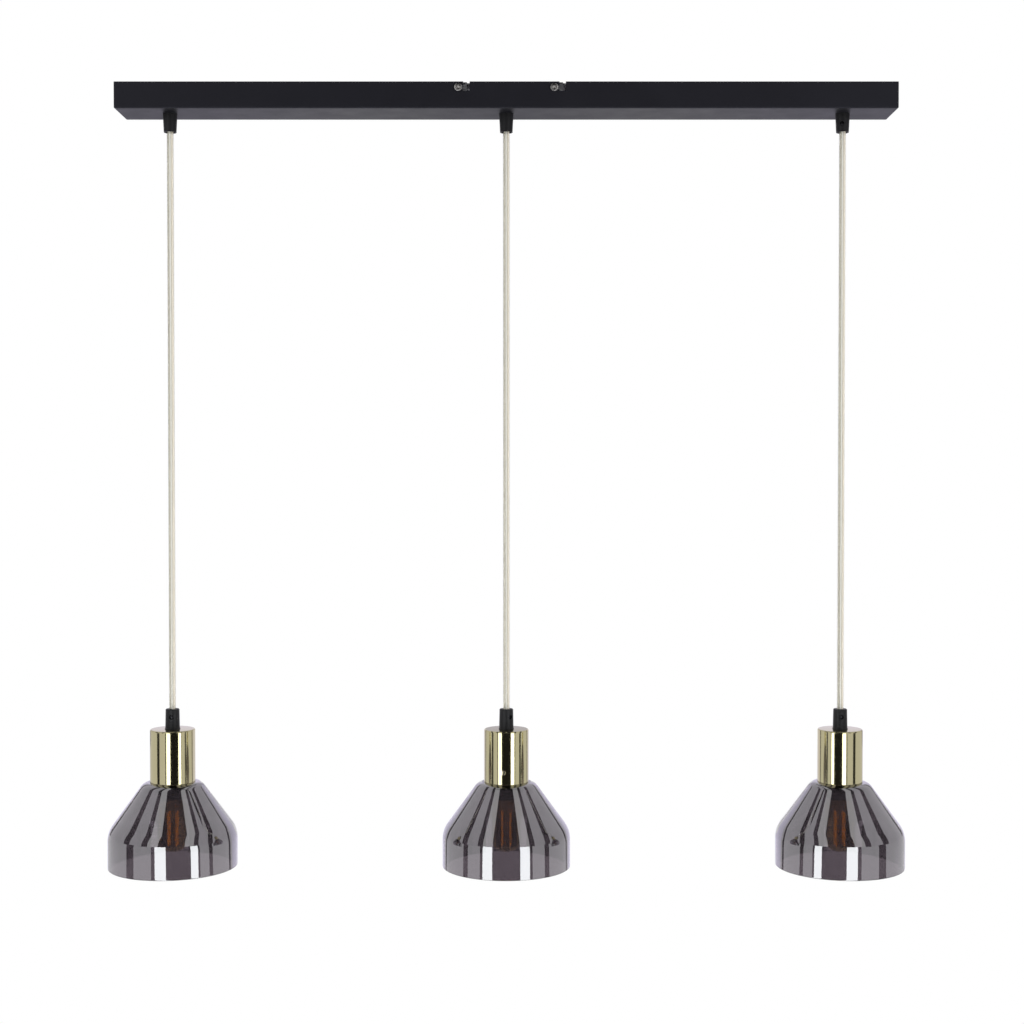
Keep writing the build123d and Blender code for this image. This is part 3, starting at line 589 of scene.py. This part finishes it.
phenolic = finish(
    "phenolic",
    {"Specular IOR Level": 0.5},
    lambda place: {
        "Base Color": place.noise(90).between((0.010, 0.010, 0.010), (0.020, 0.019, 0.018)),
        "Roughness": 0.22 + 0.14 * place.noise(200),
        "Normal": place.noise(700).relief(0.012),
    },
)
ring_black = finish(
    "ring_black",
    {"Specular IOR Level": 0.5, "Coat Weight": 0.25, "Coat Roughness": 0.06},
    lambda place: {
        "Base Color": place.noise(120).between((0.008, 0.008, 0.008), (0.016, 0.016, 0.016)),
        "Roughness": 0.16 + 0.12 * place.noise(300),
    },
)
dress(phenolic, *(f"holder_cap_{side}" for side in LAMPS))
dress(ring_black, *(f"shade_ring_{side}" for side in LAMPS))
SKIRT_RADIUS = 14
THREAD_TOP = -721.5
THREAD_END = -737.5
THREAD_PITCH = 2.5
THREAD_DEPTH = 0.5
THREAD_RUN_OUT = 1.5
thread_rows = np.linspace(THREAD_TOP, THREAD_END, 66)
above_thread = [(12.2, -696), (SKIRT_RADIUS, -696), (SKIRT_RADIUS, -721)]
holder_outline = np.concatenate(
    [
        above_thread,
        np.stack([SKIRT_RADIUS + 0 * thread_rows, thread_rows], -1),
        [(13.8, -738), (12.8, -738), (12.6, -737.8), (12.6, -731), (7.75, -729)],
        [(7.75, -710), (1.55, -710), (1.55, -707), (12.2, -707)],
    ]
)
# The groove is a cosine of the level over the pitch, less the turn round the axis. It runs out
# at the thread's two ends.
rows = slice(len(above_thread), len(above_thread) + len(thread_rows))
to_an_end = np.minimum(thread_rows - THREAD_END, THREAD_TOP - thread_rows)
fade = np.minimum(1, to_an_end / THREAD_RUN_OUT)[:, None]
for side, x in LAMPS.items():
    grid = turned(holder_outline, x, steps=120)
    turn = np.arctan2(grid[..., 1], grid[..., 0] - x)
    groove = 0.5 - 0.5 * np.cos(2 * np.pi * grid[..., 2] / THREAD_PITCH - turn)
    inwards = (THREAD_DEPTH * groove[rows] * fade) / SKIRT_RADIUS
    grid[rows, :, 0] -= inwards * (grid[rows, :, 0] - x)
    grid[rows, :, 1] -= inwards * grid[rows, :, 1]
    holder = skin(f"threaded_holder_{side}", [grid], True)
    fit(holder, f"head_{side}", "holder_black", phenolic, f"holder_body_{side}")

# ---------------------------------------------------------------- glass shades
# Each shade is mould-blown glass, smoked violet-grey in the mass and half mirrored, with a flat
# top round the lampholder, a rounded shoulder, a cone, a soft knee and an upright skirt whose
# cut rim is fire polished.

smoked = finish(
    "smoked_mirror_glass",
    {
        "Base Color": (0.115, 0.093, 0.111),
        "Transmission Weight": 1.0,
        "IOR": 1.48,
        "Roughness": 0.0,
        "Coat Weight": 1.0,
        "Coat IOR": 2.8,
        "Coat Roughness": 0.0,
    },
)


SHADE_TOP = -720
SHADE_RIM = -808.5
SHADE_RADIUS = 66.5
SHADE_WALL = 2.5
SHOULDER_RADIUS = 29.5  # where the line of the flat top meets the cone's
CONE_LEAN = math.radians(36)  # from the upright


def shade_side(inset):
    """The corners of the shade's section, set in from its outside by an inset: the cone's line
    moves in by inset / cos(lean), and goes out by tan(lean) for each millimetre down."""
    shift = inset / math.cos(CONE_LEAN)
    shoulder = SHOULDER_RADIUS - shift + math.tan(CONE_LEAN) * inset
    skirt = SHADE_RADIUS - inset
    knee = SHADE_TOP - (skirt - SHOULDER_RADIUS + shift) / math.tan(CONE_LEAN)
    return [
        (15, SHADE_TOP - inset, 0.6),
        (shoulder, SHADE_TOP - inset, 11 - inset),
        (skirt, knee, 27 - inset),
        (skirt, SHADE_RIM, 1.15),
    ]


shade_outline = rounded(shade_side(0) + shade_side(SHADE_WALL)[::-1], 16)
for side, x in LAMPS.items():
    glass = skin(f"glass_shade_{side}", [turned(shade_outline, x, steps=216)], True)
    fit(glass, f"head_{side}", "smoked_glass", smoked, f"shade_{side}")

# ---------------------------------------------------------------- bulbs
# A tube bulb of amber glass with a nickel-plated screw cap. Four upright filaments, coated in
# orange phosphor, are welded to wires on a glass stem. The filaments' faint orange glow is painted.

nickel = finish(
    "nickel_plate",
    {"Metallic": 1.0, "Base Color": (0.70, 0.68, 0.64)},
    lambda place: {"Roughness": 0.18 + 0.16 * place.noise(500)},
)
dress(nickel, *(f"bulb_{end}_{side}" for side in LAMPS for end in ("cap", "contact")))
amber = finish(
    "amber_glass",
    {"Base Color": (0.78, 0.67, 0.48), "Transmission Weight": 1.0, "IOR": 1.47, "Roughness": 0.0},
)
clear_glass = finish(
    "stem_glass",
    {"Base Color": (0.95, 0.95, 0.93), "Transmission Weight": 1.0, "IOR": 1.5, "Roughness": 0.02},
)
# The filaments' orange emission is a painted glow that stands in for the light they catch.
phosphor_painted_glow = finish(
    "phosphor_painted_glow",
    {"Emission Color": (1.0, 0.45, 0.05, 1.0), "Emission Strength": 1.5},
    lambda place: {
        "Base Color": place.noise(1500).between((0.80, 0.34, 0.03), (0.92, 0.46, 0.07)),
        "Roughness": 0.55 + 0.2 * place.noise(900),
        "Normal": place.noise(3000).relief(0.05),
    },
)


def bulb_side(inset):
    """The corners of the bulb's glass in section, from its neck in the cap to its tip."""
    return [
        (6.4 - inset, -729, 0),
        (10.4 - inset, -738, 11),
        (15 - inset, -746, 11),
        (15 - inset, -793 + inset, 11 - inset),
        (0, -793 + inset, 0),
    ]


BULB_WALL = 0.8
bulb_outline = np.concatenate(
    [rounded(bulb_side(0), 14), rounded(bulb_side(BULB_WALL), 14)[::-1]]
)
stem_outline = rounded(
    [
        (0, -729.2, 0),
        (5.1, -729.2, 0.4),
        (3.4, -733, 2),
        (1.2, -744, 8),
        (1.2, -788.2, 0.8),
        (0, -788.2, 0),
    ],
    8,
)
rod_outline = rounded([(0, -787.2, 0), (0.95, -787.2, 0.4), (0.95, -751.8, 0.4), (0, -751.8, 0)], 6)
ROD_CIRCLE = 6
WIRE_RADIUS = 0.32
# A wire starts in a rod, bends beyond its end and goes on to the stem, at these levels.
WIRE_LEVELS = [(-753.5, -751.0, -750.6), (-785.5, -788.0, -788.1)]
for side, x in LAMPS.items():
    body = f"bulb_{side}"
    tube = skin(f"bulb_tube_{side}", [turned(bulb_outline, x, steps=120)], True)
    fit(tube, body, "amber_glass", amber, f"bulb_glass_{side}")
    stem = skin(f"bulb_stem_{side}", [turned(stem_outline, x, steps=40)])
    fit(stem, body, "amber_glass", clear_glass, f"bulb_filaments_{side}")
    rods, wires = [], []
    for k in range(4):
        turn = math.radians(45 + 90 * k)
        rod_x, rod_y = x + ROD_CIRCLE * math.cos(turn), ROD_CIRCLE * math.sin(turn)
        rods.append(turned(rod_outline, rod_x, rod_y, 16))
        for start, bend, at_stem in WIRE_LEVELS:
            line = np.array([(rod_x, rod_y, start), (rod_x, rod_y, bend), (x, 0, at_stem)])
            wires.append(core(line, 0, WIRE_RADIUS, 0, step=0.4))
    fit(skin(f"filament_rods_{side}", rods), body, "filament_amber", phosphor_painted_glow)
    fit(skin(f"filament_wires_{side}", wires), body, "bulb_cap_metal", nickel)

# ---------------------------------------------------------------- studio
# A white studio: a pale floor below the lamps and soft light from the front. Grey cloths, black
# flags and posts, and softboxes stand round it, and show only in what is polished.


def stage_material(name, colour, strength):
    """A surface that glows with one colour and strength."""
    made = bpy.data.materials.new(name)
    made.use_nodes = True
    tree = made.node_tree
    tree.nodes.clear()
    inputs = {"Color": (*colour, 1), "Strength": strength}
    glow = Wire(tree, None).node("ShaderNodeEmission", {}, inputs)
    tree.links.new(glow.socket, tree.nodes.new("ShaderNodeOutputMaterial").inputs["Surface"])
    return made


MAIN_LOOK = np.array((0, 0.976, -0.218))  # from the front, and down on the lamps
LAMP_LEVEL = -0.75


def surround(name, strength, turn, lean, distance, colour):
    """A patch round the studio that shows, from the front, in those parts of a polished lamp
    that face from one turn to another and lean back from one angle to another, in degrees, with
    turn 0 to the front. Where n is such a part's normal and d the look at it, the patch lies at
    its distance in metres along the mirrored look, d - 2 (d.n) n."""
    around = np.radians(np.linspace(*turn, 33))[None, :]
    back = np.radians(np.linspace(*lean, 33))[:, None]
    level = np.cos(back)
    normal = np.stack(
        [level * np.sin(around), -level * np.cos(around), np.sin(back) + 0 * around], -1
    )
    mirrored = MAIN_LOOK - 2 * (normal @ MAIN_LOOK)[..., None] * normal
    rows, columns = mirrored.shape[:2]
    first = (np.arange(rows - 1)[:, None] * columns + np.arange(columns - 1)).reshape(-1, 1)
    quads = first + [[0, 1, columns + 1, columns]]
    corners = distance * mirrored.reshape(-1, 3) + (0, 0, LAMP_LEVEL)
    mesh = bpy.data.meshes.new(name)
    mesh.from_pydata(corners.tolist(), [], quads.tolist())
    mesh.materials.append(stage_material(name, colour, strength))
    made = bpy.data.objects.new(name, mesh)
    bpy.context.scene.collection.objects.link(made)
    made.visible_camera = made.visible_diffuse = False
    made.visible_transmission = made.visible_shadow = False


WHITE = (1.0, 0.99, 1.0)
UPRIGHT = (-24, 10)  # how far the cups and the shades' skirts lean back
LEANING = (10, 89)  # the shades' knees, cones and shoulders
ALL_ROUND = (-32, 89)
surround("grey_cloth", 0.66, (-89.5, 89.5), ALL_ROUND, 4.2, (0.97, 0.95, 1.0))
surround("low_flag", 0.012, (-12, 12), UPRIGHT, 0.9, WHITE)
surround("high_flag", 0.012, (-12, 12), LEANING, 2.2, WHITE)
surround("rear_cloth", 0.62, (-90, 90), (79, 101), 1.9, (0.90, 0.87, 1.03))
BOTH_SIDES = [
    ("softbox", 3.3, (12, 20.5), UPRIGHT, 0.9, (0.95, 0.98, 1.0)),
    ("low_gap", 0.03, (20.6, 23), UPRIGHT, 0.92, WHITE),
    ("low_post", 0.03, (35, 40), UPRIGHT, 0.92, WHITE),
    ("low_cloth", 0.70, (20.5, 66), UPRIGHT, 1.2, (0.97, 0.96, 1.0)),
    ("high_box", 0.8, (12, 21), LEANING, 2.2, WHITE),
    ("high_gap", 0.03, (21, 26), LEANING, 2.3, WHITE),
    ("high_post", 0.03, (37, 43), (10, 60), 2.3, WHITE),
    ("edge", 0.04, (66, 69), (-24, 60), 2.4, WHITE),
    ("side_cloth", 0.9, (72, 89.5), ALL_ROUND, 3.0, (0.90, 0.86, 1.04)),
]
for side, sign in (("left", -1), ("right", 1)):
    for patch, strength, (near, far), lean, distance, colour in BOTH_SIDES:
        turn = (sign * near, sign * far)
        surround(f"{patch}_{side}", strength, turn, lean, distance, colour)


def looked_at(tree):
    """1 where the camera, a polished surface or glass looks, and 0 for all other light."""
    path = tree.nodes.new("ShaderNodeLightPath")
    kinds = ("Camera", "Glossy", "Transmission")
    seen = [Wire(tree, path.outputs[f"Is {kind} Ray"]) for kind in kinds]
    return seen[0].maths("MAXIMUM", seen[0].maths("MAXIMUM", seen[0], seen[1]), seen[2])


world = bpy.data.worlds.new("studio")
bpy.context.scene.world = world
world.use_nodes = True
strength = 0.7 + 0.3 * looked_at(world.node_tree)  # 1, which is white, where it is looked at
world.node_tree.links.new(strength.socket, world.node_tree.nodes["Background"].inputs["Strength"])
world.node_tree.nodes["Background"].inputs["Color"].default_value = (1, 1, 1, 1)

FLOOR_HALF, FLOOR_LEVEL = 6, -2.1
floor_mesh = bpy.data.meshes.new("studio_floor")
floor_corners = [
    (x * FLOOR_HALF, y * FLOOR_HALF, FLOOR_LEVEL) for x, y in ((-1, -1), (1, -1), (1, 1), (-1, 1))
]
floor_mesh.from_pydata(floor_corners, [], [(0, 1, 2, 3)])
floor = bpy.data.objects.new("studio_floor", floor_mesh)
bpy.context.scene.collection.objects.link(floor)
pale = bpy.data.materials.new("studio_floor")
pale.use_nodes = True
tree = pale.node_tree
tree.nodes.clear()
seen = looked_at(tree)
paint = seen.node("ShaderNodeBsdfDiffuse", {}, {"Color": (0.82, 0.82, 0.82, 1)})
glow = seen.node("ShaderNodeEmission", {}, {"Color": (1, 1, 1, 1), "Strength": 1.0})
mixed = seen.node("ShaderNodeMixShader", {}, {0: seen, 1: paint, 2: glow})
tree.links.new(mixed.socket, tree.nodes.new("ShaderNodeOutputMaterial").inputs["Surface"])
floor_mesh.materials.append(pale)

for name, place, size, watts in (
    ("front_left", (-1.7, -2.0, 0.35), 1.4, 30.0),
    ("front_right", (1.9, -1.8, -0.1), 1.4, 22.0),
    ("from_below", (0.0, -0.6, -1.9), 1.6, 9.0),
):
    light = bpy.data.lights.new(name, "AREA")
    light.size = size
    light.energy = watts
    lamp = bpy.data.objects.new(name, light)
    bpy.context.scene.collection.objects.link(lamp)
    lamp.location = place
    aim = Vector((0, 0, -0.45)) - Vector(place)
    lamp.rotation_euler = aim.to_track_quat("-Z", "Y").to_euler()
    lamp.visible_camera = lamp.visible_glossy = lamp.visible_transmission = False

camera = bpy.data.objects.new("camera", bpy.data.cameras.new("camera"))
bpy.context.scene.collection.objects.link(camera)
camera.data.sensor_width = 36.0
camera.data.lens = 57.2
camera.location = (0.0059, -1.6919, -0.4054)
DOWNWARDS = 0.0198  # radians
camera.rotation_euler = (math.pi / 2 - DOWNWARDS, 0, 0)
bpy.context.scene.camera = camera
bpy.context.scene.view_settings.view_transform = "Standard"
